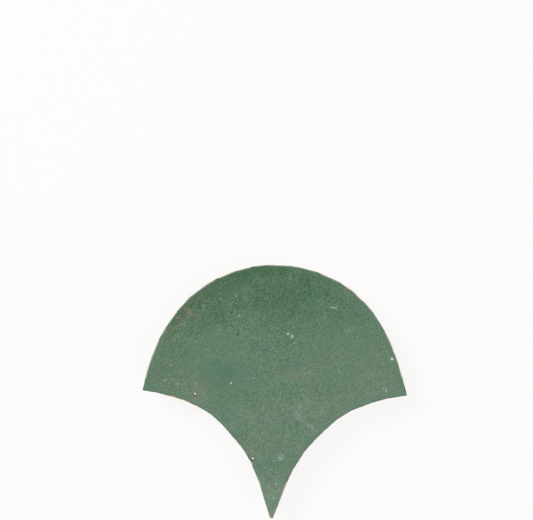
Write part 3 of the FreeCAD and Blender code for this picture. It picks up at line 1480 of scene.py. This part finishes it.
    def _drop_strands(self) -> None:
        """Deletes what is left of a net where it is too narrow for a face."""
        bpy.ops.mesh.select_all(action="DESELECT")
        shape = self._shape()
        ring = shape.verts.layers.int[RING]
        for vertex in shape.verts:
            vertex.select_set(vertex[ring] == 0 and not vertex.link_faces)
        bmesh.update_edit_mesh(self.piece.data)
        bpy.ops.mesh.delete(type="VERT")
        bpy.ops.mesh.select_mode(type="EDGE")

    @staticmethod
    def _inside(places: np.ndarray, border: np.ndarray) -> np.ndarray:
        """Tells which places lie inside a closed border.

        Args:
            places: Points as rows.
            border: The border's corners as rows, in order.

        Returns:
            One truth value for each place.
        """
        x, y = places.T
        inside = np.zeros(len(places), bool)
        for (ax, ay), (bx, by) in zip(border, np.roll(border, -1, axis=0)):
            if ay == by:
                continue
            spans = (ay > y) != (by > y)
            inside ^= spans & (x < (bx - ax) * (y - ay) / (by - ay) + ax)
        return inside

    @staticmethod
    def _tree(ring: list[Vector]) -> KDTree:
        """Prepares a ring's stations, seen from above, for quick search.

        Args:
            ring: The stations.

        Returns:
            The search tree.
        """
        tree = KDTree(len(ring))
        for i, place in enumerate(ring):
            tree.insert((place.x, place.y, 0.0), i)
        tree.balance()
        return tree

    def _fill_between(self) -> None:
        """Closes the gap between the newest net and the newest ring."""
        bpy.ops.mesh.select_all(action="DESELECT")
        for edge in self._shape().edges:
            edge.select_set(len(edge.link_faces) < 2)
        bmesh.update_edit_mesh(self.piece.data)
        bpy.ops.mesh.fill(use_beauty=True)

    def _draw_down_sides(self) -> None:
        """Extrudes the ring over the arris and down the sides to the back."""
        bpy.ops.mesh.select_all(action="DESELECT")
        shape = self._shape()
        ring = shape.verts.layers.int[RING]
        for edge in shape.edges:
            edge.select_set(all(v[ring] == 1 for v in edge.verts) and len(edge.link_faces) == 1)
        bmesh.update_edit_mesh(self.piece.data)
        for number, places in enumerate(self.ring_places[1:], start=2):
            bpy.ops.mesh.extrude_region_move(TRANSFORM_OT_translate={"value": (0.0, 0.0, 0.0)})
            shape = self._shape()
            station = shape.verts.layers.int[STATION]
            ring = shape.verts.layers.int[RING]
            for vertex in shape.verts:
                if vertex.select:
                    vertex.co = places[vertex[station] - 1] * MM
                    vertex[ring] = number
            bmesh.update_edit_mesh(self.piece.data)

    def _taken(self, name: str) -> np.ndarray:
        """Takes one of the numbers that were kept with the vertices off the mesh.

        Args:
            name: The number's name.

        Returns:
            Its value for each vertex.
        """
        mesh = self.piece.data
        values = np.zeros(len(mesh.vertices), np.int32)
        mesh.attributes[name].data.foreach_get("value", values)
        mesh.attributes.remove(mesh.attributes[name])
        return values

    def _mark_surfaces(self) -> None:
        """Stores how far each vertex lies from the rim and how bare it is."""
        mesh = self.piece.data
        ring = self._taken(RING)
        station = self._taken(STATION)
        rim = self._tree(self.outline.stations(self.outline.corners))
        edge = np.zeros(len(mesh.vertices), np.float32)
        bare = np.zeros(len(mesh.vertices), np.float32)
        for i, vertex in enumerate(mesh.vertices):
            x, y, z = vertex.co / MM
            edge[i] = rim.find((x, y, 0.0))[2]
            if ring[i]:
                bare[i] = self.ring_bare[ring[i] - 1][station[i] - 1]
            else:
                bare[i] = 0.0 if z > self.thickness / 2 else 1.0
        for name, values in ((EDGE, edge), (BARE, bare)):
            mesh.attributes.new(name, "FLOAT", "POINT").data.foreach_set("value", values)

    def _refine_blemishes(self) -> None:
        """Divides the face finely round each fault, so that its dent has a shape."""
        bpy.ops.object.mode_set(mode="EDIT")
        bpy.ops.mesh.select_mode(type="FACE")
        bpy.ops.mesh.select_all(action="DESELECT")
        for face in self._shape().faces:
            middle = face.calc_center_median() / MM
            if middle.z < self.thickness / 2:
                continue
            for blemish in BLEMISHES:
                away = math.hypot(middle.x - blemish.x, middle.y - blemish.y)
                if away < self.dent_reach * blemish.radius + self.dent_margin:
                    face.select_set(True)
        bmesh.update_edit_mesh(self.piece.data)
        bpy.ops.mesh.subdivide(number_cuts=self.dent_cuts)
        bpy.ops.object.mode_set(mode="OBJECT")

    def _weather(self) -> None:
        """Gives the face its unevenness, the sides their broken grain and the back its tool marks."""
        mesh = self.piece.data
        count = len(mesh.vertices)
        places = np.zeros(count * 3)
        mesh.vertices.foreach_get("co", places)
        places = places.reshape(-1, 3) / MM
        normals = np.zeros(count * 3)
        mesh.vertex_normals.foreach_get("vector", normals)
        normals = normals.reshape(-1, 3)
        edge = np.zeros(count)
        mesh.attributes[EDGE].data.foreach_get("value", edge)
        hollow = np.zeros(count, np.float32)
        foot = self._tree(self.ring_places[-1])
        for i in range(count):
            place = Vector(places[i])
            normal = Vector(normals[i])
            inner = foot.find((place.x, place.y, 0.0))[2]
            facing_up = smooth(0.0, self.face_turn, normal.z)
            if facing_up:
                places[i, 2] -= facing_up * self._face_drop(place, edge[i])
            elif place.z < self.back_level and inner > self.back_margin / 2:
                places[i, 2] += self._back_rise(place, inner)
            elif normal.xy.length > self.least_side:
                hollow[i] = self._cut_depth(place)
                places[i, :2] -= np.array(normal.xy.normalized()) * hollow[i]
        places = np.clip(places, CAD_LOW, CAD_HIGH)
        mesh.vertices.foreach_set("co", (places * MM).ravel())
        mesh.attributes.new(HOLLOW, "FLOAT", "POINT").data.foreach_set("value", hollow)
        mesh.update()

    def _face_drop(self, place: Vector, edge: float) -> float:
        """How far the glazed face lies below its highest level at a place.

        Args:
            place: The place on the face.
            edge: Its distance from the rim.

        Returns:
            The drop in millimetres, never negative.
        """
        drop = smooth(0.0, self.face_rim, edge) * (self.swell.below(place) + self.ripple.below(place))
        drop += smooth(0.0, self.skin_rim, edge) * self.skin.below(place)
        drop += self.rim_sag * math.exp(-edge / self.rim_sag_reach)
        for blemish in BLEMISHES:
            away = math.hypot(place.x - blemish.x, place.y - blemish.y) / blemish.radius
            if away < 1.0:
                drop += blemish.depth * (1 - smooth(self.dent_floor, 1.0, away))
        return drop

    def _cut_depth(self, place: Vector) -> float:
        """How far the broken clay of the sides lies behind its cut.

        Args:
            place: The place on the sides.

        Returns:
            The depth of the flake scars and the grain there, nothing under the rim and at the tip.
        """
        share = smooth(*self.scar_span, self.thickness - place.z)
        if place.y < 0.0:
            share *= smooth(*self.tip_span, abs(place.x - self.outline.tip_sway))
        scars = self.large_scars.at(place) + self.small_scars.at(place)
        return share * (scars + self.broken_clay.below(place))

    def _back_rise(self, place: Vector, inner: float) -> float:
        """How far the bare back lies above its bed at a place, a distance inside the back's own edge."""
        marks = self.pressed.below(place) + self.scraped.below(place) + self.pits.at(place)
        return smooth(0.0, self.back_rim, inner) * marks


@dataclass
class PhotoCamera:
    """The camera, straight above and turned a little, as the tile was photographed."""

    stand_off: float = 800.0
    view_width: float = 201.39
    axis_x: float = -4.22
    axis_y: float = 49.64
    turn: float = 1.2124
    sensor: float = 36.0

    def build(self, level: float) -> bpy.types.Object:
        """Places the camera.

        Args:
            level: The height in millimetres at which the view's width is measured.

        Returns:
            The scene's camera.
        """
        place = (self.axis_x * MM, self.axis_y * MM, (level + self.stand_off) * MM)
        bpy.ops.object.camera_add(location=place, rotation=(0.0, 0.0, math.radians(self.turn)))
        camera = bpy.context.object
        camera.data.sensor_width = self.sensor
        camera.data.lens = self.sensor * self.stand_off / self.view_width
        bpy.context.scene.camera = camera
        return camera


@dataclass(frozen=True)
class Softbox:
    """A square lamp, in metres and watts, that faces the tile."""

    name: str
    place: tuple[float, float, float]
    size: float
    power: float

    def build(self) -> None:
        """Adds the lamp."""
        aim = Vector(self.place).to_track_quat("Z", "Y").to_euler()
        bpy.ops.object.light_add(type="AREA", location=self.place, rotation=aim)
        lamp = bpy.context.object
        lamp.name = self.name
        lamp.data.size = self.size
        lamp.data.energy = self.power


@dataclass
class Studio:
    """A pale floor under plain soft light, with its sizes in metres."""

    floor_size: float = 8.0
    floor_level: float = -0.0002
    floor_white: float = 0.9
    floor_glow: float = 0.85
    white: Colour = (1.0, 1.0, 1.0)
    sky: float = 0.54
    lamps: tuple[Softbox, ...] = (
        Softbox("key_softbox", (-0.95, 0.75, 1.15), 0.8, 12.0),
        Softbox("fill_softbox", (1.1, -0.5, 0.9), 1.0, 4.3),
    )

    def build(self) -> None:
        """Adds the floor, the lamps and the surrounding light."""
        scene = bpy.context.scene
        scene.view_settings.view_transform = "Standard"
        bpy.ops.mesh.primitive_plane_add(size=self.floor_size, location=(0.0, 0.0, self.floor_level))
        floor = bpy.context.object
        floor.name = "floor"
        floor.data.materials.append(self._floor_material())
        for lamp in self.lamps:
            lamp.build()
        self._surround()

    @staticmethod
    def _seen(recipe: Recipe) -> Value:
        """Tells the rays that show what they meet from those that only light it.

        Args:
            recipe: The material or world that asks.

        Returns:
            1 for rays from the camera, in a reflection or through glass, and else 0.
        """
        path = recipe.node("ShaderNodeLightPath").outputs
        camera = Value(recipe, path["Is Camera Ray"])
        glossy = Value(recipe, path["Is Glossy Ray"])
        through = Value(recipe, path["Is Transmission Ray"])
        return camera.most(glossy).most(through)

    def _floor_material(self) -> bpy.types.Material:
        """Makes a white floor that keeps a faint shadow.

        Returns:
            The floor's material.
        """
        material = bpy.data.materials.new("white_floor")
        material.use_nodes = True
        recipe = Recipe(material.node_tree)
        paint = recipe.node("ShaderNodeBsdfDiffuse", None, {"Color": (self.floor_white,) * 3})
        glow = recipe.node("ShaderNodeEmission", None, {"Color": self.white, "Strength": 1.0})
        share = self._seen(recipe) * self.floor_glow
        sockets = {0: share, 1: paint.outputs["BSDF"], 2: glow.outputs["Emission"]}
        both = recipe.node("ShaderNodeMixShader", None, sockets)
        recipe.node("ShaderNodeOutputMaterial", None, {"Surface": both.outputs["Shader"]})
        return material

    def _surround(self) -> None:
        """Lights the scene evenly from all round, and shows white."""
        world = bpy.data.worlds.new("studio")
        bpy.context.scene.world = world
        world.use_nodes = True
        recipe = Recipe(world.node_tree)
        strength = self.sky + (1.0 - self.sky) * self._seen(recipe)
        light = recipe.node("ShaderNodeBackground", None, {"Color": self.white, "Strength": strength})
        recipe.node("ShaderNodeOutputWorld", None, {"Surface": light.outputs["Background"]})


def main() -> None:
    """Builds the camera, the tile and the studio, in that order."""
    logging.basicConfig(level=logging.INFO, format="%(name)s: %(message)s")
    tile = Tile()
    PhotoCamera().build(tile.thickness)
    piece = tile.build()
    tile.dress(GlazedEarthenware().build())
    log.info("%s: %d faces", piece.name, len(piece.data.polygons))
    Studio().build()
    log.info("floor and lamps are set")


if __name__ == "__main__":
    main()
